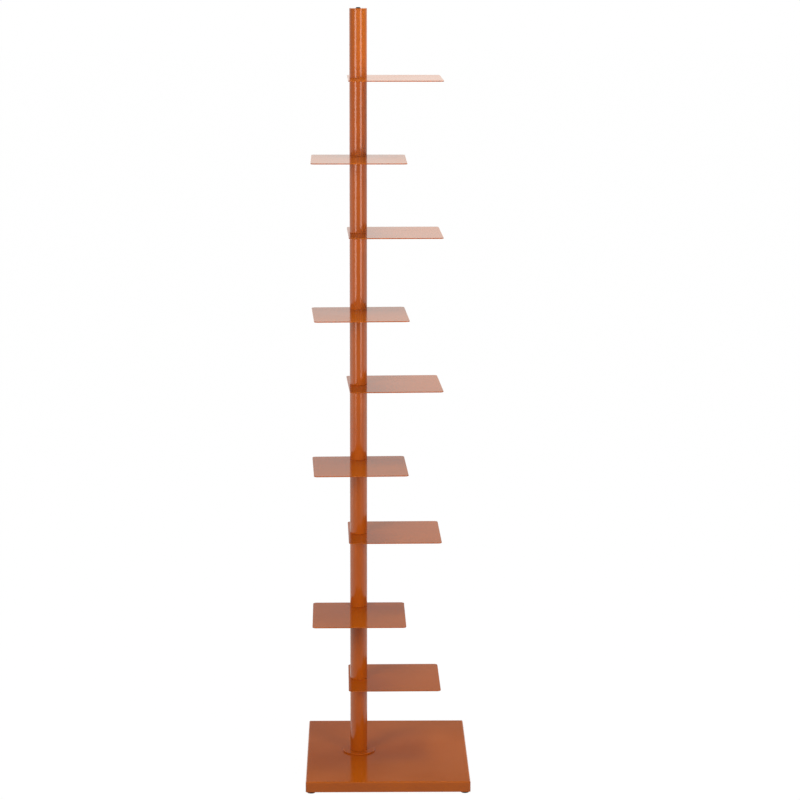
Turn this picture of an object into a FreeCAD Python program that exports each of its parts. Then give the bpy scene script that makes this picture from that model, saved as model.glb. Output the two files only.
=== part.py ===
import FreeCAD, Part
import math
import os

# Spine bookshelf: a round column of stacked tube lengths, with a thin square plate clamped in each
# joint, on a weighted tray base with four levelling feet. A tie rod inside the column draws it together.
# Millimetres. The origin is on the floor under the middle of the base, +X right, -Y front, +Z up.

# Base tray, folded from sheet steel and open below
base_width = 358.0
base_depth = 430.0
base_height = 23.0
base_sheet = 2.0
base_inner_corner_radius = 1.5
base_inner_bend_radius = 1.0

# Ballast plate under the tray's ceiling, held by welded studs and nuts
ballast_thickness = 12.0
ballast_side_gap = 4.0
ballast_notch_gap = 4.0
ballast_stud_diameter = 6.0
ballast_stud_inset = 50.0
ballast_nut_flats = 10.0
ballast_nut_height = 5.0
ballast_nut_pocket = 4.0

# Levelling feet
foot_inset = 12.0
foot_pad_diameter = 18.0
foot_pad_height = 4.0
foot_pad_chamfer = 0.5
foot_hub_diameter = 12.0
foot_hub_height = 3.0
foot_socket_floor = 1.5
foot_stud_diameter = 8.0
foot_boss_diameter = 14.0
foot_boss_gap = 1.0
foot_stud_top_gap = 1.0

# Column
column_offset = 63.5
flange_diameter = 72.0
flange_thickness = 3.0
tube_diameter = 38.0
tube_wall = 1.5
tube_length = 165.0
top_tube_length = 145.0
tube_end_round = 0.4
cap_thickness = 3.0

# Plugs in the tube ends, whose noses are the journals that the shelves turn on
plug_length = 10.0
nose_diameter = 20.0
nose_gap = 0.4
journal_clearance = 0.05
press_clearance = 0.02

# Shelves, counted from the floor: odd ones point right, even ones point to the front
shelf_count = 9
shelf_side = 203.0
shelf_thickness = 2.0
shelf_corner_radius = 8.0
shelf_hole_inset = 23.0
shelf_hand_turns = (0.5, 0.5, 1.0, 2.0, 2.5, 2.5, 1.5, 0.5, 1.0)

# Tie rod in three lengths, named from the floor up, with its nuts
rod_names = ("tie_rod_lower", "tie_rod_middle", "tie_rod_upper")
rod_diameter = 8.0
rod_clearance = 0.3
rod_projection = 1.5
rod_end_gap = 1.0
rod_nut_flats = 13.0
rod_nut_height = 6.5
rod_washer_diameter = 22.0
rod_washer_thickness = 1.6
rod_nut_pocket = 7.0
coupling_length = 24.0
coupling_top_gap = 1.0
thread_clearance = 0.05
pocket_clearance = 1.2

# Chamfered faces of nuts and couplings
nut_face_share = 0.95
nut_chamfer_degrees = 30.0

# Top screw
screw_diameter = 6.0
screw_head_diameter = 10.5
screw_head_height = 2.2
screw_rim = 0.4
screw_crown_diameter = 6.5
screw_dome_bulge = 0.35
screw_socket_flats = 4.0
screw_socket_depth = 1.6

# Rounded outer edges of the plates, flange and cap, and the most of a thickness that one may take
edge_round = 0.6
edge_round_share = 0.4

# How near two coordinates of an edge lie when they count as the same
same_place = 1e-6

# Levels, from the floor up
tray_bottom = foot_pad_height
tray_top = tray_bottom + base_height
tray_ceiling = tray_top - base_sheet
ballast_bottom = tray_ceiling - ballast_thickness
flange_top = tray_top + flange_thickness
shelf_step = tube_length + shelf_thickness
tube_count = shelf_count + 1

# Derived sizes
column_x = -column_offset
tube_inner_diameter = tube_diameter - 2 * tube_wall
nose_height = (shelf_thickness - nose_gap) / 2
journal_hole = nose_diameter + 2 * journal_clearance
rod_hole = rod_diameter + 2 * rod_clearance


def vector(x, y, z):
    return FreeCAD.Vector(x, y, z)


def cylinder(diameter, bottom, top, x=0.0, y=0.0):
    return Part.makeCylinder(diameter / 2, top - bottom, vector(x, y, bottom))


def ring(outer, inner, bottom, top, x=0.0, y=0.0):
    return cylinder(outer, bottom, top, x, y).cut(cylinder(inner, bottom, top, x, y))


def block(width, depth, bottom, top):
    return Part.makeBox(width, depth, top - bottom, vector(-width / 2, -depth / 2, bottom))


def hexagon(flats, bottom, top, x=0.0, y=0.0):
    corner = flats / 2 / math.cos(math.pi / 6)
    points = []
    for i in range(7):
        angle = i * math.pi / 3
        points.append(vector(x + corner * math.cos(angle), y + corner * math.sin(angle), bottom))
    face = Part.Face(Part.makePolygon(points))
    return face.extrude(vector(0, 0, top - bottom))


# Hexagon whose corners are turned off at both faces, as on a nut
def nut_blank(flats, bottom, top, x=0.0, y=0.0):
    corner = flats / 2 / math.cos(math.pi / 6)
    face = nut_face_share * flats / 2
    rise = (corner - face) * math.tan(math.radians(nut_chamfer_degrees))
    lower = Part.makeCone(face, corner, rise, vector(x, y, bottom))
    upper = Part.makeCone(corner, face, rise, vector(x, y, top - rise))
    turned = lower.fuse(cylinder(2 * corner, bottom + rise, top - rise, x, y)).fuse(upper)
    return hexagon(flats, bottom, top, x, y).common(turned)


def hexagon_pocket_diameter(flats):
    return flats / math.cos(math.pi / 6) + 2 * pocket_clearance


def upright_edges(shape):
    chosen = []
    for edge in shape.Edges:
        box = edge.BoundBox
        if box.ZLength > same_place and max(box.XLength, box.YLength) < same_place:
            chosen.append(edge)
    return chosen


def level_edges(shape, height):
    chosen = []
    for edge in shape.Edges:
        box = edge.BoundBox
        if max(abs(box.ZMin - height), abs(box.ZMax - height)) < same_place:
            chosen.append(edge)
    return chosen


def edge_radius(thickness):
    return min(edge_round, edge_round_share * thickness)


def rounded_block(width, depth, bottom, top, corner_radius):
    shape = block(width, depth, bottom, top)
    return shape.makeFillet(corner_radius, upright_edges(shape))


def moved(shape, x, y, z=0.0):
    copy = shape.copy()
    copy.translate(vector(x, y, z))
    return copy


def tube_bottom(number):
    return flange_top + (number - 1) * shelf_step


def tube_top(number):
    if number == tube_count:
        return tube_bottom(number) + top_tube_length
    return tube_bottom(number) + tube_length


def shelf_bottom(number):
    return tube_top(number)


# Four places at the same distance from the base's outer faces
def corners(inset):
    x = base_width / 2 - inset
    y = base_depth / 2 - inset
    return [("front_left", -x, -y), ("front_right", x, -y), ("rear_left", -x, y), ("rear_right", x, y)]


# Folded pan, open below, with one hole in its top for the tie rod
def make_base_tray():
    outer_corner = base_inner_corner_radius + base_sheet
    outer_bend = base_inner_bend_radius + base_sheet
    outside = rounded_block(base_width, base_depth, tray_bottom, tray_top, outer_corner)
    outside = outside.makeFillet(outer_bend, level_edges(outside, tray_top))
    inner_width = base_width - 2 * base_sheet
    inner_depth = base_depth - 2 * base_sheet
    inside = rounded_block(inner_width, inner_depth, tray_bottom, tray_ceiling, base_inner_corner_radius)
    inside = inside.makeFillet(base_inner_bend_radius, level_edges(inside, tray_ceiling))
    tray = outside.cut(inside)
    return tray.cut(cylinder(rod_hole, tray_ceiling, tray_top, column_x))


# Plain plate under the tray's ceiling: notched for the foot bosses, and with a pocket for each nut
def make_ballast_plate():
    width = base_width - 2 * (base_sheet + ballast_side_gap)
    depth = base_depth - 2 * (base_sheet + ballast_side_gap)
    plate = block(width, depth, ballast_bottom, tray_ceiling)
    notch = foot_inset + foot_boss_diameter / 2 + ballast_notch_gap
    for _, x, y in corners(0.0):
        plate = plate.cut(moved(block(2 * notch, 2 * notch, ballast_bottom, tray_ceiling), x, y))
    plate = plate.cut(cylinder(rod_hole, ballast_bottom, tray_ceiling, column_x))
    rod_pocket = rod_washer_diameter + 2 * pocket_clearance
    plate = plate.cut(cylinder(rod_pocket, ballast_bottom, ballast_bottom + rod_nut_pocket, column_x))
    stud_hole = ballast_stud_diameter + 2 * rod_clearance
    nut_pocket = hexagon_pocket_diameter(ballast_nut_flats)
    for _, x, y in corners(ballast_stud_inset):
        plate = plate.cut(cylinder(stud_hole, ballast_bottom, tray_ceiling, x, y))
        plate = plate.cut(cylinder(nut_pocket, ballast_bottom, ballast_bottom + ballast_nut_pocket, x, y))
    return plate


# Studs welded to the tray's ceiling, which pass through the ballast plate
def make_ballast_studs():
    end = ballast_bottom + ballast_nut_pocket - ballast_nut_height - rod_projection
    places = corners(ballast_stud_inset)
    return [cylinder(ballast_stud_diameter, end, tray_ceiling, x, y) for _, x, y in places]


# One nut on each stud, up against the bottom of its pocket
def make_ballast_nuts():
    top = ballast_bottom + ballast_nut_pocket
    bottom = top - ballast_nut_height
    bore = ballast_stud_diameter + 2 * thread_clearance
    nuts = []
    for _, x, y in corners(ballast_stud_inset):
        nuts.append(nut_blank(ballast_nut_flats, bottom, top, x, y).cut(cylinder(bore, bottom, top, x, y)))
    return nuts


# Threaded bosses welded under the tray's ceiling, one in each corner
def make_foot_bosses():
    bottom = foot_pad_height + foot_hub_height + foot_boss_gap
    bore = foot_stud_diameter + 2 * thread_clearance
    return [ring(foot_boss_diameter, bore, bottom, tray_ceiling, x, y) for _, x, y in corners(foot_inset)]


# Round pad with a hub, whose socket takes the end of the levelling stud
def make_foot_pad(x, y):
    disc = cylinder(foot_pad_diameter, 0.0, foot_pad_height, x, y)
    disc = disc.makeChamfer(foot_pad_chamfer, level_edges(disc, 0.0) + level_edges(disc, foot_pad_height))
    hub_top = foot_pad_height + foot_hub_height
    pad = disc.fuse(cylinder(foot_hub_diameter, foot_socket_floor, hub_top, x, y)).removeSplitter()
    socket = foot_stud_diameter + 2 * journal_clearance
    return pad.cut(cylinder(socket, foot_socket_floor, hub_top, x, y))


# Levelling stud, which turns in the pad and climbs in the boss
def make_foot_stud(x, y):
    return cylinder(foot_stud_diameter, foot_socket_floor, tray_ceiling - foot_stud_top_gap, x, y)


# Disc at the foot of the column, centred on the nose of the lowest plug
def make_flange():
    disc = cylinder(flange_diameter, tray_top, flange_top, column_x)
    rims = level_edges(disc, tray_top) + level_edges(disc, flange_top)
    disc = disc.makeFillet(edge_radius(flange_thickness), rims)
    return disc.cut(cylinder(journal_hole, tray_top, flange_top, column_x))


# One length of the column, counted from the floor, with its outer end edges rounded
def make_tube(number):
    bottom = tube_bottom(number)
    top = tube_top(number)
    bar = cylinder(tube_diameter, bottom, top, column_x)
    bar = bar.makeFillet(tube_end_round, level_edges(bar, bottom) + level_edges(bar, top))
    return bar.cut(cylinder(tube_inner_diameter, bottom, top, column_x))


# Plug flush with a tube's end, with a nose that reaches almost to the middle of a plate
def make_plug(end, upward):
    outer = tube_inner_diameter - 2 * press_clearance
    body = cylinder(outer, -plug_length, 0.0)
    plug = body.fuse(cylinder(nose_diameter, -plug_length / 2, nose_height)).removeSplitter()
    plug = plug.cut(cylinder(rod_hole, -plug_length, nose_height))
    if not upward:
        plug = plug.mirror(vector(0, 0, 0), vector(0, 0, 1))
    return moved(plug, column_x, 0.0, end)


def make_plugs():
    plugs = []
    for number in range(1, tube_count + 1):
        plugs.append(make_plug(tube_bottom(number), False))
        plugs.append(make_plug(tube_top(number), True))
    return plugs


# Square plate with its hole near the middle of one side, turned by hand to within a degree or two
def make_shelf(number):
    plate = rounded_block(shelf_side, shelf_side, 0.0, shelf_thickness, shelf_corner_radius)
    radius = edge_radius(shelf_thickness)
    plate = plate.makeFillet(radius, level_edges(plate, 0.0) + level_edges(plate, shelf_thickness))
    plate.translate(vector(shelf_side / 2 - shelf_hole_inset, 0, 0))
    plate = plate.cut(cylinder(journal_hole, 0.0, shelf_thickness))
    points_right = number % 2 == 1
    turn = 0.0 if points_right else -90.0
    turn += shelf_hand_turns[(number - 1) % len(shelf_hand_turns)]
    plate.rotate(vector(0, 0, 0), vector(0, 0, 1), turn)
    return moved(plate, column_x, 0.0, shelf_bottom(number))


# Disc on the top tube, recessed below for the nose of the highest plug
def make_cap():
    bottom = tube_top(tube_count)
    top = bottom + cap_thickness
    cap = cylinder(tube_diameter, bottom, top, column_x)
    cap = cap.makeFillet(edge_radius(cap_thickness), level_edges(cap, top))
    cap = cap.cut(cylinder(journal_hole, bottom, bottom + nose_height + nose_gap / 2, column_x))
    return cap.cut(cylinder(screw_diameter + 2 * rod_clearance, bottom, top, column_x))


# Rod joints at the middle of a tube, spread evenly over the column
def coupling_middles():
    middles = []
    for i in range(1, len(rod_names)):
        number = i * tube_count // len(rod_names) + 1
        middles.append((tube_bottom(number) + tube_top(number)) / 2)
    return middles


# The reducing coupling hangs just under the highest plug
def reducer_top():
    return tube_top(tube_count) - plug_length - coupling_top_gap


def reducer_middle():
    return reducer_top() - coupling_length / 2


# The rod ends just below the anchor nut
def rod_foot():
    return ballast_bottom + rod_nut_pocket - rod_washer_thickness - rod_nut_height - rod_projection


def make_rods():
    ends = [rod_foot()]
    for middle in coupling_middles():
        ends.append(middle - rod_end_gap / 2)
        ends.append(middle + rod_end_gap / 2)
    ends.append(reducer_middle() - rod_end_gap / 2)
    rods = {}
    for i, name in enumerate(rod_names):
        rods[name] = cylinder(rod_diameter, ends[2 * i], ends[2 * i + 1], column_x)
    return rods


def make_rod_couplings():
    couplings = []
    for middle in coupling_middles():
        bottom = middle - coupling_length / 2
        top = bottom + coupling_length
        bore = cylinder(rod_diameter + 2 * thread_clearance, bottom, top, column_x)
        couplings.append(nut_blank(rod_nut_flats, bottom, top, column_x).cut(bore))
    return couplings


def make_reducing_coupling():
    middle = reducer_middle()
    bottom = middle - coupling_length / 2
    body = nut_blank(rod_nut_flats, bottom, reducer_top(), column_x)
    body = body.cut(cylinder(rod_diameter + 2 * thread_clearance, bottom, middle, column_x))
    return body.cut(cylinder(screw_diameter + 2 * thread_clearance, middle, reducer_top(), column_x))


def make_anchor_washer():
    top = ballast_bottom + rod_nut_pocket
    return ring(rod_washer_diameter, rod_hole, top - rod_washer_thickness, top, column_x)


def make_anchor_nut():
    top = ballast_bottom + rod_nut_pocket - rod_washer_thickness
    bottom = top - rod_nut_height
    bore = cylinder(rod_diameter + 2 * thread_clearance, bottom, top, column_x)
    return nut_blank(rod_nut_flats, bottom, top, column_x).cut(bore)


# Low domed screw with a hexagon socket, which draws the rod up
def make_top_screw():
    radius = screw_head_diameter / 2
    rim = vector(radius, 0, screw_rim)
    crown = vector(screw_crown_diameter / 2, 0, screw_head_height)
    chord = crown - rim
    outward = vector(chord.z, 0, -chord.x) / chord.Length
    dome = Part.Arc(rim, (rim + crown) / 2 + outward * screw_dome_bulge, crown).toShape()
    outline = [
        Part.makeLine(vector(0, 0, 0), vector(radius, 0, 0)),
        Part.makeLine(vector(radius, 0, 0), rim),
        dome,
        Part.makeLine(crown, vector(0, 0, screw_head_height)),
        Part.makeLine(vector(0, 0, screw_head_height), vector(0, 0, 0)),
    ]
    head = Part.Face(Part.Wire(outline)).revolve(vector(0, 0, 0), vector(0, 0, 1), 360)
    head_bottom = tube_top(tube_count) + cap_thickness
    shank_end = reducer_middle() + rod_end_gap / 2
    shank = cylinder(screw_diameter, shank_end - head_bottom, screw_rim)
    screw = head.fuse(shank).removeSplitter()
    socket = hexagon(screw_socket_flats, screw_head_height - screw_socket_depth, screw_head_height)
    return moved(screw.cut(socket), column_x, 0.0, head_bottom)


# A piece is one solid, also after its cuts and fillets
def single_solid(shape):
    solids = shape.Solids
    if len(solids) != 1:
        raise ValueError("a piece came out as %d solids" % len(solids))
    return solids[0]


def build():
    nodes = {
        "base_tray": [make_base_tray()],
        "ballast_plate": [make_ballast_plate()],
        "ballast_studs": make_ballast_studs(),
        "ballast_nuts": make_ballast_nuts(),
        "foot_bosses": make_foot_bosses(),
        "column_flange": [make_flange()],
        "tube_end_plugs": make_plugs(),
        "rod_couplings": make_rod_couplings(),
        "reducing_coupling": [make_reducing_coupling()],
        "anchor_washer": [make_anchor_washer()],
        "anchor_nut": [make_anchor_nut()],
        "top_cap": [make_cap()],
        "top_screw": [make_top_screw()],
    }
    for name, x, y in corners(foot_inset):
        nodes["foot_pad_" + name] = [make_foot_pad(x, y)]
        nodes["foot_stud_" + name] = [make_foot_stud(x, y)]
    for name, rod in make_rods().items():
        nodes[name] = [rod]
    for number in range(1, tube_count + 1):
        nodes["column_tube_%02d" % number] = [make_tube(number)]
    for number in range(1, shelf_count + 1):
        nodes["shelf_%d" % number] = [make_shelf(number)]
    return nodes


os.makedirs("parts", exist_ok=True)
for node, pieces in build().items():
    solids = [single_solid(piece) for piece in pieces]
    shape = solids[0] if len(solids) == 1 else Part.makeCompound(solids)
    shape.exportStep(os.path.join("parts", node + ".step"))
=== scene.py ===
import math

import bpy
from mathutils import Matrix, Vector


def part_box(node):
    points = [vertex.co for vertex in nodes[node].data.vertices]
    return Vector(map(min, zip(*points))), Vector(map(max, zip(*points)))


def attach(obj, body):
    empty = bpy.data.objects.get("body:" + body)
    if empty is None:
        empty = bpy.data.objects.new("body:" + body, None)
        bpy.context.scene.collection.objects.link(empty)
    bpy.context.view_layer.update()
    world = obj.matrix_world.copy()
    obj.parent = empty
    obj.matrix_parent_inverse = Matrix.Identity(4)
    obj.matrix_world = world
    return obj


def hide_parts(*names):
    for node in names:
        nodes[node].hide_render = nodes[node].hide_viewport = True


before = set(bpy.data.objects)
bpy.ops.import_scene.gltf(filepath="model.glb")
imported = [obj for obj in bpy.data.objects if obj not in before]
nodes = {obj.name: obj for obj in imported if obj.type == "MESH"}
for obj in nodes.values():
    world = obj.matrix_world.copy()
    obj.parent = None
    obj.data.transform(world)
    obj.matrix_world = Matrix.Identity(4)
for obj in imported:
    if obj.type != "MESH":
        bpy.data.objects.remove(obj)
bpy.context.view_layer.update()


# Base tray
# A low pan folded from 2 mm sheet steel, its corners welded and ground, powder coated inside and out.
# The coat is a glossy burnt orange, with the faint orange peel that the powder leaves as it flows out.

def set_inputs(node, **values):
    for name, value in values.items():
        node.inputs[name.replace("_", " ")].default_value = value
    return node


def new_material(name):
    material = bpy.data.materials.new(name)
    material.use_nodes = True
    tree = material.node_tree
    return material, tree, tree.nodes["Principled BSDF"]


def object_noise(tree, scale, detail, stretch=(1.0, 1.0, 1.0)):
    place = tree.nodes.new("ShaderNodeTexCoord")
    mapping = set_inputs(tree.nodes.new("ShaderNodeMapping"), Scale=stretch)
    noise = set_inputs(tree.nodes.new("ShaderNodeTexNoise"), Scale=scale, Detail=detail)
    tree.links.new(place.outputs["Object"], mapping.inputs["Vector"])
    tree.links.new(mapping.outputs["Vector"], noise.inputs["Vector"])
    return noise.outputs["Fac"]


def ranged(tree, value, low, high, first, second):
    node = tree.nodes.new("ShaderNodeMapRange")
    set_inputs(node, From_Min=low, From_Max=high, To_Min=first, To_Max=second)
    tree.links.new(value, node.inputs["Value"])
    return node


def spread(tree, noise, low, high):
    return ranged(tree, noise, 0.3, 0.7, low, high).outputs["Result"]


def two_tones(tree, value, first, second):
    ramp = tree.nodes.new("ShaderNodeValToRGB")
    for element, position, colour in zip(ramp.color_ramp.elements, (0.32, 0.68), (first, second)):
        element.position = position
        element.color = (*colour, 1)
    tree.links.new(value, ramp.inputs["Fac"])
    return ramp.outputs["Color"]


def bumped(tree, value, height, under=None):
    node = set_inputs(tree.nodes.new("ShaderNodeBump"), Strength=1.0, Distance=height)
    tree.links.new(value, node.inputs["Height"])
    if under is not None:
        tree.links.new(under, node.inputs["Normal"])
    return node.outputs["Normal"]


def orange_powder_coat():
    deep_orange = (0.492, 0.095, 0.0008)
    light_orange = (0.533, 0.106, 0.0011)
    glossiest = 0.11
    dullest = 0.15
    material, tree, shader = new_material("orange_powder_coat")
    drift = object_noise(tree, scale=9.0, detail=3.0)
    peel = object_noise(tree, scale=330.0, detail=1.0)
    grain = object_noise(tree, scale=1100.0, detail=2.0)
    tree.links.new(two_tones(tree, drift, deep_orange, light_orange), shader.inputs["Base Color"])
    tree.links.new(spread(tree, drift, glossiest, dullest), shader.inputs["Roughness"])
    normal = bumped(tree, peel, height=0.000006)
    normal = bumped(tree, grain, height=0.000001, under=normal)
    tree.links.new(normal, shader.inputs["Normal"])
    return material


def finish_with(material, *names):
    for name in names:
        nodes[name].material_slots[0].material = material


coat = orange_powder_coat()
finish_with(coat, "base_tray")


# Ballast plate
# A flame-cut steel plate that fills the tray and keeps the tall column upright.
# It is bare, with the dark, patchy mill scale of hot rolling.

def mill_scale():
    blue_black = (0.055, 0.058, 0.064)
    worn_grey = (0.16, 0.16, 0.165)
    material, tree, shader = new_material("mill_scale")
    set_inputs(shader, Metallic=0.85)
    patches = object_noise(tree, scale=22.0, detail=8.0)
    rolling = object_noise(tree, scale=40.0, detail=3.0, stretch=(1.0, 0.04, 1.0))
    pitting = object_noise(tree, scale=700.0, detail=3.0)
    tree.links.new(two_tones(tree, patches, blue_black, worn_grey), shader.inputs["Base Color"])
    tree.links.new(spread(tree, rolling, 0.38, 0.58), shader.inputs["Roughness"])
    tree.links.new(bumped(tree, pitting, height=0.00004), shader.inputs["Normal"])
    return material


finish_with(mill_scale(), "ballast_plate")


# Ballast studs and nuts
# Four M6 studs are welded to the tray's ceiling, pass through the ballast plate and carry its nuts.
# Both are zinc plated. The threads are turned by a node tree: a helical grid with chamfered ends.

def bright_zinc():
    cool_zinc = (0.50, 0.52, 0.54)
    pale_zinc = (0.62, 0.62, 0.60)
    material, tree, shader = new_material("bright_zinc")
    set_inputs(shader, Metallic=1.0)
    bloom = object_noise(tree, scale=90.0, detail=5.0)
    crystals = object_noise(tree, scale=1500.0, detail=2.0)
    tree.links.new(two_tones(tree, bloom, cool_zinc, pale_zinc), shader.inputs["Base Color"])
    tree.links.new(spread(tree, bloom, 0.22, 0.4), shader.inputs["Roughness"])
    tree.links.new(bumped(tree, crystals, height=0.000008), shader.inputs["Normal"])
    return material


def thread_tree():
    rows_to_a_turn = 4
    tree = bpy.data.node_groups.new("threaded_bar", "GeometryNodeTree")
    face = tree.interface
    face.new_socket("Feet", in_out="INPUT", socket_type="NodeSocketGeometry")
    for name in ("Length", "Radius", "Pitch", "Depth"):
        face.new_socket(name, in_out="INPUT", socket_type="NodeSocketFloat")
    face.new_socket("Segments", in_out="INPUT", socket_type="NodeSocketInt")
    face.new_socket("Finish", in_out="INPUT", socket_type="NodeSocketMaterial")
    face.new_socket("Bars", in_out="OUTPUT", socket_type="NodeSocketGeometry")
    sizes = tree.nodes.new("NodeGroupInput").outputs

    def feed(socket, value):
        if isinstance(value, bpy.types.NodeSocket):
            tree.links.new(value, socket)
        else:
            socket.default_value = value

    def calc(operation, *values):
        node = tree.nodes.new("ShaderNodeMath")
        node.operation = operation
        for socket, value in zip(node.inputs, values):
            feed(socket, value)
        return node.outputs[0]

    def made(kind, **inputs):
        node = tree.nodes.new(kind)
        for name, value in inputs.items():
            feed(node.inputs[name.replace("_", " ")], value)
        return node

    # The grid's long side climbs the bar, its short side goes round it
    turns = calc("ADD", calc("CEIL", calc("DIVIDE", sizes["Length"], sizes["Pitch"])), 1.0)
    rows = calc("MULTIPLY", turns, float(rows_to_a_turn))
    grid = made(
        "GeometryNodeMeshGrid", Size_X=1.0, Size_Y=1.0,
        Vertices_X=calc("ADD", sizes["Segments"], 1.0), Vertices_Y=calc("ADD", rows, 1.0),
    )
    spot = made("ShaderNodeSeparateXYZ", Vector=made("GeometryNodeInputPosition").outputs["Position"])
    around = calc("ADD", spot.outputs["X"], 0.5)
    row = calc("ROUND", calc("MULTIPLY", calc("ADD", spot.outputs["Y"], 0.5), rows))
    climb = calc("ADD", calc("DIVIDE", row, float(rows_to_a_turn)), calc("SUBTRACT", around, 1.0))
    height = calc("MINIMUM", calc("MAXIMUM", calc("MULTIPLY", climb, sizes["Pitch"]), 0.0), sizes["Length"])

    # Two rows of each turn are crest and two are root, and the ends are chamfered down to the root
    in_turn = calc("MODULO", row, float(rows_to_a_turn))
    in_root = calc("GREATER_THAN", in_turn, rows_to_a_turn / 2 - 0.5)
    thread = calc("SUBTRACT", sizes["Radius"], calc("MULTIPLY", in_root, sizes["Depth"]))
    end_gap = calc("MINIMUM", height, calc("SUBTRACT", sizes["Length"], height))
    root = calc("SUBTRACT", sizes["Radius"], sizes["Depth"])
    radius = calc("MINIMUM", thread, calc("ADD", root, end_gap))
    angle = calc("MULTIPLY", around, 2 * math.pi)
    place = made(
        "ShaderNodeCombineXYZ", X=calc("MULTIPLY", radius, calc("COSINE", angle)),
        Y=calc("MULTIPLY", radius, calc("SINE", angle)), Z=height,
    )
    wall = made("GeometryNodeSetPosition", Geometry=grid.outputs["Mesh"], Position=place.outputs["Vector"])

    # A flat face closes each end
    join = made("GeometryNodeJoinGeometry")
    end_face = tree.nodes.new("GeometryNodeMeshCircle")
    end_face.fill_type = "NGON"
    feed(end_face.inputs["Vertices"], sizes["Segments"])
    feed(end_face.inputs["Radius"], root)
    lift = made("ShaderNodeCombineXYZ", Z=sizes["Length"])
    disc = end_face.outputs["Mesh"]
    upper = made("GeometryNodeTransform", Geometry=disc, Translation=lift.outputs["Vector"])
    lower = made("GeometryNodeFlipFaces", Mesh=disc)
    for part in (wall.outputs["Geometry"], upper.outputs["Geometry"], lower.outputs["Mesh"]):
        tree.links.new(part, join.inputs["Geometry"])
    closed = made("GeometryNodeMergeByDistance", Geometry=join.outputs["Geometry"], Distance=0.000004)

    # One bar stands on each point
    bars = made(
        "GeometryNodeInstanceOnPoints", Points=sizes["Feet"], Instance=closed.outputs["Geometry"]
    )
    solid = made("GeometryNodeRealizeInstances", Geometry=bars.outputs["Instances"])
    finished = made("GeometryNodeSetMaterial", Geometry=solid.outputs["Geometry"], Material=sizes["Finish"])
    tree.links.new(finished.outputs["Geometry"], tree.nodes.new("NodeGroupOutput").inputs["Bars"])
    return tree


def threaded_bars(name, feet, length, diameter, pitch, material, segments=24):
    points = bpy.data.meshes.new(name)
    points.from_pydata(feet, [], [])
    bars = bpy.data.objects.new(name, points)
    bpy.context.scene.collection.objects.link(bars)
    modifier = bars.modifiers.new("thread", "NODES")
    modifier.node_group = threads
    values = {
        "Length": length, "Radius": diameter / 2, "Pitch": pitch, "Depth": thread_depth * pitch,
        "Segments": segments, "Finish": material,
    }
    for socket in threads.interface.items_tree:
        if socket.in_out == "INPUT" and socket.name in values:
            modifier[socket.identifier] = values[socket.name]
    evaluated = bars.evaluated_get(bpy.context.evaluated_depsgraph_get())
    turned = bpy.data.meshes.new_from_object(evaluated)
    bars.modifiers.remove(modifier)
    bars.data = turned
    turned.name = name
    turned.shade_smooth()
    turned.set_sharp_from_angle(angle=math.radians(30))
    return bars


def stands_for(piece, node, body):
    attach(piece, body)
    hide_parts(node)


threads = thread_tree()
thread_depth = 0.54
zinc = bright_zinc()
root_body = "column_and_base"
stud_low, stud_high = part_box("ballast_studs")
ballast_stud_diameter = 0.006
ballast_stud_pitch = 0.001
stud_feet = [
    (x + side_x * ballast_stud_diameter / 2, y + side_y * ballast_stud_diameter / 2, stud_low.z)
    for x, side_x in ((stud_low.x, 1), (stud_high.x, -1))
    for y, side_y in ((stud_low.y, 1), (stud_high.y, -1))
]
ballast_studs = threaded_bars(
    "ballast_threads", stud_feet, stud_high.z - stud_low.z, ballast_stud_diameter, ballast_stud_pitch, zinc
)
stands_for(ballast_studs, "ballast_studs", root_body)
finish_with(zinc, "ballast_nuts")


# Levelling feet
# A boss is welded in each corner of the tray and coated with it. A zinc-plated M8 stud turns in the boss
# and stands in a moulded black pad, whose skin has the fine grain of a spark-eroded mould.

def black_plastic():
    matt_black = (0.004, 0.004, 0.0045)
    worn_black = (0.008, 0.008, 0.0085)
    faint_shine = 0.2
    material, tree, shader = new_material("moulded_black")
    set_inputs(shader, Specular_IOR_Level=faint_shine)
    cloud = object_noise(tree, scale=60.0, detail=4.0)
    grain = object_noise(tree, scale=2200.0, detail=2.0)
    tree.links.new(two_tones(tree, cloud, matt_black, worn_black), shader.inputs["Base Color"])
    tree.links.new(spread(tree, cloud, 0.5, 0.62), shader.inputs["Roughness"])
    tree.links.new(bumped(tree, grain, height=0.00002), shader.inputs["Normal"])
    return material


finish_with(coat, "foot_bosses")
pad_black = black_plastic()
foot_stud_pitch = 0.00125
for corner in ("front_left", "front_right", "rear_left", "rear_right"):
    finish_with(pad_black, "foot_pad_" + corner)
    low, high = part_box("foot_stud_" + corner)
    middle = (low + high) / 2
    stud = threaded_bars(
        "foot_thread_" + corner, [(middle.x, middle.y, low.z)], high.z - low.z, high.x - low.x,
        foot_stud_pitch, zinc,
    )
    stands_for(stud, "foot_stud_" + corner, "foot_stud_" + corner)


# Column flange
# A round steel disc between the base and the column, which spreads the column's load.
# It is coated like the rest and held by the tie rod alone.

finish_with(coat, "column_flange")


# Tie rod
# Three lengths of M8 studding inside the column, joined by long hexagon nuts, pull the whole stack together.
# A nut and washer hold the rod's foot under the ballast plate, and a reducing nut takes the top screw.

finish_with(zinc, "rod_couplings", "reducing_coupling", "anchor_washer", "anchor_nut")
rod_pitch = 0.00125
for name in ("tie_rod_lower", "tie_rod_middle", "tie_rod_upper"):
    low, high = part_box(name)
    middle = (low + high) / 2
    rod = threaded_bars(
        name.replace("tie_rod", "studding"), [(middle.x, middle.y, low.z)], high.z - low.z, high.x - low.x,
        rod_pitch, zinc, segments=18,
    )
    stands_for(rod, name, root_body)


# Tube end plugs
# Two moulded nylon plugs close each length of tube. Their noses reach into the plates' holes,
# centre the stack and are the journals on which the shelves turn.

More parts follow.
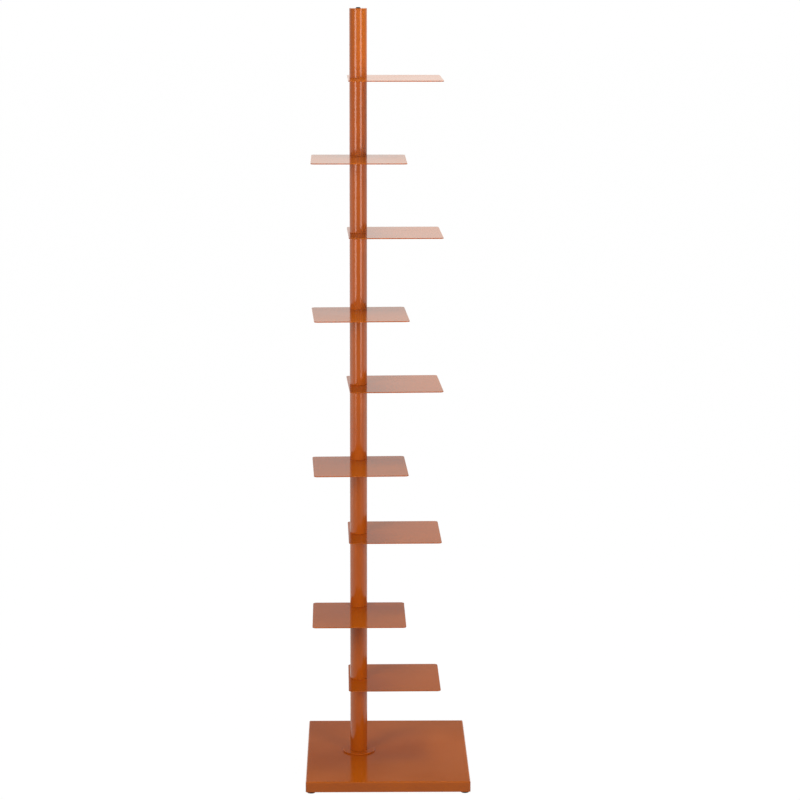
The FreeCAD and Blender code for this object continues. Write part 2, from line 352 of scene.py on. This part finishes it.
def grey_nylon():
    dark_grey = (0.045, 0.046, 0.048)
    light_grey = (0.058, 0.058, 0.060)
    material, tree, shader = new_material("grey_nylon")
    flow = object_noise(tree, scale=45.0, detail=5.0)
    grain = object_noise(tree, scale=1800.0, detail=2.0)
    tree.links.new(two_tones(tree, flow, dark_grey, light_grey), shader.inputs["Base Color"])
    tree.links.new(spread(tree, flow, 0.42, 0.55), shader.inputs["Roughness"])
    tree.links.new(bumped(tree, grain, height=0.00001), shader.inputs["Normal"])
    return material


finish_with(grey_nylon(), "tube_end_plugs")


# Column tubes
# Ten lengths of 38 mm round steel tube, coated one by one before they are stacked.
# Their ends are faced square and slightly rounded, so that a fine line shows at each plate.

finish_with(coat, *(name for name in sorted(nodes) if name.startswith("column_tube_")))


# Shelves
# Nine square plates laser cut from 2 mm sheet steel, with rounded corners and edges, coated on both faces.
# Each is clamped between two tubes and can be turned about the column once the top screw is loosened.

finish_with(coat, *(name for name in sorted(nodes) if name.startswith("shelf_")))


# Top cap and screw
# A coated disc closes the top tube. A low domed screw with a hexagon socket goes through it
# into the reducing nut. The screw is blackened and oiled, so it stays slightly shiny.

def black_oxide():
    blue_black = (0.012, 0.012, 0.014)
    rubbed = (0.030, 0.029, 0.028)
    material, tree, shader = new_material("black_oxide")
    set_inputs(shader, Metallic=1.0)
    rub = object_noise(tree, scale=260.0, detail=5.0)
    turning = object_noise(tree, scale=900.0, detail=2.0)
    tree.links.new(two_tones(tree, rub, blue_black, rubbed), shader.inputs["Base Color"])
    tree.links.new(spread(tree, rub, 0.25, 0.38), shader.inputs["Roughness"])
    tree.links.new(bumped(tree, turning, height=0.000006), shader.inputs["Normal"])
    return material


finish_with(coat, "top_cap")
finish_with(black_oxide(), "top_screw")


# Studio
# A white sweep lit from behind, a soft panel on each side in front and a soft box above light the shelf.
# The floor shows white, keeps the shadow and is clear from below, so that feet and ballast can be seen.

def soft_box(name, place, target, width, height, brightness, colour=(1, 1, 1)):
    light = bpy.data.lights.new(name, "AREA")
    light.shape = "RECTANGLE"
    light.color = colour
    light.size = width
    light.size_y = height
    light.energy = brightness * math.pi * width * height
    lamp = bpy.data.objects.new(name, light)
    lamp.location = place
    lamp.rotation_mode = "QUATERNION"
    lamp.rotation_quaternion = (Vector(target) - Vector(place)).to_track_quat("-Z", "Y")
    lamp.visible_camera = False
    lamp.visible_glossy = False
    bpy.context.scene.collection.objects.link(lamp)


flange_low, flange_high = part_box("column_flange")
column_x = (flange_low.x + flange_high.x) / 2
panel_angle = math.radians(35.0)
panel_distance = 2.6
panel_width = 1.0
for name, side, middle, height, brightness in (
    ("panel_left", -1, 1.6, 1.0, 11.6),
    ("panel_right", 1, 1.03, 1.14, 8.1),
):
    across = column_x + side * panel_distance * math.sin(panel_angle)
    ahead = -panel_distance * math.cos(panel_angle)
    soft_box(name, (across, ahead, middle), (column_x, 0, middle), panel_width, height, brightness)
# The lamp above is a little yellower than the panels
top_place = (0.5, -0.5, 2.6)
top_target = (column_x, 0, 1.2)
top_size = 0.8
top_brightness = 7.8
top_colour = (0.85, 1.08, 1.0)
soft_box("top", top_place, top_target, top_size, top_size, top_brightness, top_colour)

world = bpy.data.worlds.new("studio")
bpy.context.scene.world = world
world.use_nodes = True
sky = world.node_tree
sky.nodes.clear()


def mixed(tree, share, first, second):
    node = tree.nodes.new("ShaderNodeMixShader")
    tree.links.new(share, node.inputs["Fac"])
    tree.links.new(first, node.inputs[1])
    tree.links.new(second, node.inputs[2])
    return node.outputs["Shader"]


def scaled(tree, value, factor):
    node = tree.nodes.new("ShaderNodeMath")
    node.operation = "MULTIPLY"
    tree.links.new(value, node.inputs[0])
    if isinstance(factor, float):
        node.inputs[1].default_value = factor
    else:
        tree.links.new(factor, node.inputs[1])
    return node.outputs["Value"]


def ray_shares(tree, seen_share):
    path = tree.nodes.new("ShaderNodeLightPath")
    seen = tree.nodes.new("ShaderNodeMath")
    seen.operation = "MAXIMUM"
    tree.links.new(path.outputs["Is Camera Ray"], seen.inputs[0])
    tree.links.new(path.outputs["Is Transmission Ray"], seen.inputs[1])
    return scaled(tree, seen.outputs["Value"], seen_share), path.outputs["Is Glossy Ray"]


# Gloss shows the white sweep behind, the floor beside it and a room in front that is brightest at eye level.
# Each pair is a place along one axis of the direction, from -1 to 1, and the level there
def levels_ramp(tree, value, levels):
    low = levels[0][0]
    high = levels[-1][0]
    reach = ranged(tree, value, low, high, 0.0, 1.0)
    ramp = tree.nodes.new("ShaderNodeValToRGB")
    while len(ramp.color_ramp.elements) < len(levels):
        ramp.color_ramp.elements.new(0.5)
    for element, (place, level) in zip(ramp.color_ramp.elements, levels):
        element.position = (place - low) / (high - low)
        element.color = (level, level, level, 1)
    tree.links.new(reach.outputs["Result"], ramp.inputs["Fac"])
    return ramp.outputs["Color"]


direction = sky.nodes.new("ShaderNodeTexCoord")
axes = sky.nodes.new("ShaderNodeSeparateXYZ")
sky.links.new(direction.outputs["Generated"], axes.inputs["Vector"])
sweep_levels = (
    (0.0, 0.615), (0.1, 0.54), (0.155, 0.534), (0.215, 0.385), (0.29, 0.205), (0.325, 0.085), (1.0, 0.145),
)
sweep = levels_ramp(sky, axes.outputs["Z"], sweep_levels)
side_levels = ((-0.3, 0.71), (-0.19, 1.0), (-0.12, 0.75), (-0.045, 0.24))
sides = levels_ramp(sky, axes.outputs["Z"], side_levels)
front_levels = ((-0.105, 0.285), (-0.04, 0.3), (0.0, 0.58), (0.12, 0.62), (0.25, 0.285))
front = levels_ramp(sky, axes.outputs["Z"], front_levels)
nearer = ranged(sky, axes.outputs["Y"], -1.0, -0.1, 0.0, 1.0)
sky.links.new(front, nearer.inputs["To Min"])
sky.links.new(sides, nearer.inputs["To Max"])
behind = ranged(sky, axes.outputs["Y"], 0.2, 0.7, 0.0, 1.0)
around = sky.nodes.new("ShaderNodeMix")
sky.links.new(behind.outputs["Result"], around.inputs["Factor"])
sky.links.new(nearer.outputs["Result"], around.inputs["A"])
sky.links.new(sweep, around.inputs["B"])
gloss_level = 1.86
bright = sky.nodes.new("ShaderNodeMath")
bright.operation = "ADD"
sky.links.new(scaled(sky, around.outputs["Result"], gloss_level), bright.inputs[0])

# Two strips in the front of the room, below eye level, show as the column's highlights, the left one brighter
strip_level = 5.4
strip_places = (
    (-0.73, 0.0), (-0.71, 1.0), (-0.42, 1.0), (-0.40, 0.0),
    (0.40, 0.0), (0.42, 0.85), (0.71, 0.85), (0.73, 0.0),
)
strip_heights = ((-0.19, 0.0), (-0.165, 0.8), (-0.11, 0.8), (-0.09, 1.0), (-0.015, 1.0), (0.0, 0.0))
strips = levels_ramp(sky, axes.outputs["X"], strip_places)
strips = scaled(sky, strips, levels_ramp(sky, axes.outputs["Z"], strip_heights))
strips = scaled(sky, strips, ranged(sky, axes.outputs["Y"], -0.6, -0.5, strip_level, 0.0).outputs["Result"])
sky.links.new(strips, bright.inputs[1])
warm_white = (1.0, 0.93, 0.87, 1)
room = set_inputs(sky.nodes.new("ShaderNodeBackground"), Color=warm_white)
sky.links.new(bright.outputs["Value"], room.inputs["Strength"])
fill_behind = 0.93
fill = set_inputs(sky.nodes.new("ShaderNodeBackground"), Color=(1, 1, 1, 1))
soft = ranged(sky, axes.outputs["Y"], -0.1, 0.3, 0.0, fill_behind)
sky.links.new(soft.outputs["Result"], fill.inputs["Strength"])
ground = set_inputs(sky.nodes.new("ShaderNodeBackground"), Color=(1, 1, 1, 1), Strength=1.0)
sky_seen, sky_gloss = ray_shares(sky, 1.0)
lit = mixed(sky, sky_gloss, fill.outputs["Background"], room.outputs["Background"])
sky_shown = mixed(sky, sky_seen, lit, ground.outputs["Background"])
sky.links.new(sky_shown, sky.nodes.new("ShaderNodeOutputWorld").inputs["Surface"])

floor_reach = 30.0
floor_corners = [(-1, -1), (1, -1), (1, 1), (-1, 1)]
floor_mesh = bpy.data.meshes.new("floor")
floor_mesh.from_pydata([(x * floor_reach, y * floor_reach, 0) for x, y in floor_corners], [], [(0, 1, 2, 3)])
floor = bpy.data.objects.new("floor", floor_mesh)
bpy.context.scene.collection.objects.link(floor)
floor_material, floor_tree, floor_shader = new_material("white_floor")
floor_tree.nodes.remove(floor_shader)
paper = set_inputs(floor_tree.nodes.new("ShaderNodeBsdfDiffuse"), Color=(0.2, 0.2, 0.2, 1))
white = set_inputs(floor_tree.nodes.new("ShaderNodeEmission"), Color=(1, 1, 1, 1), Strength=1.1)
floor_seen, _ = ray_shares(floor_tree, 0.9)
floor_shown = mixed(floor_tree, floor_seen, paper.outputs["BSDF"], white.outputs["Emission"])
from_below = floor_tree.nodes.new("ShaderNodeNewGeometry").outputs["Backfacing"]
clear = floor_tree.nodes.new("ShaderNodeBsdfTransparent")
floor_sides = mixed(floor_tree, from_below, floor_shown, clear.outputs["BSDF"])
floor_tree.links.new(floor_sides, floor_tree.nodes["Material Output"].inputs["Surface"])
floor_mesh.materials.append(floor_material)
floor.visible_glossy = False


# Camera
# A long lens, a little above the column's top and looking slightly down, as in the photograph.
# The small yaw and roll are the photograph's too.

picture_width = 800.0
focal_pixels = 2550.8
sensor_width = 36.0
camera_pitch = math.radians(10.199)
camera_yaw = math.radians(-0.948)
camera_roll = math.radians(0.108)
camera_place = (column_x, -5.5, 1.881)
shift_pixels = -28.0
camera_data = bpy.data.cameras.new("camera")
camera_data.sensor_width = sensor_width
camera_data.lens = focal_pixels / picture_width * sensor_width
camera_data.shift_y = shift_pixels / picture_width
camera = bpy.data.objects.new("camera", camera_data)
camera.location = camera_place
turn = Matrix.Rotation(camera_yaw, 3, "Z") @ Matrix.Rotation(math.pi / 2 - camera_pitch, 3, "X")
camera.rotation_euler = (turn @ Matrix.Rotation(camera_roll, 3, "Z")).to_euler()
bpy.context.scene.collection.objects.link(camera)
bpy.context.scene.camera = camera
bpy.context.scene.view_settings.view_transform = "Standard"
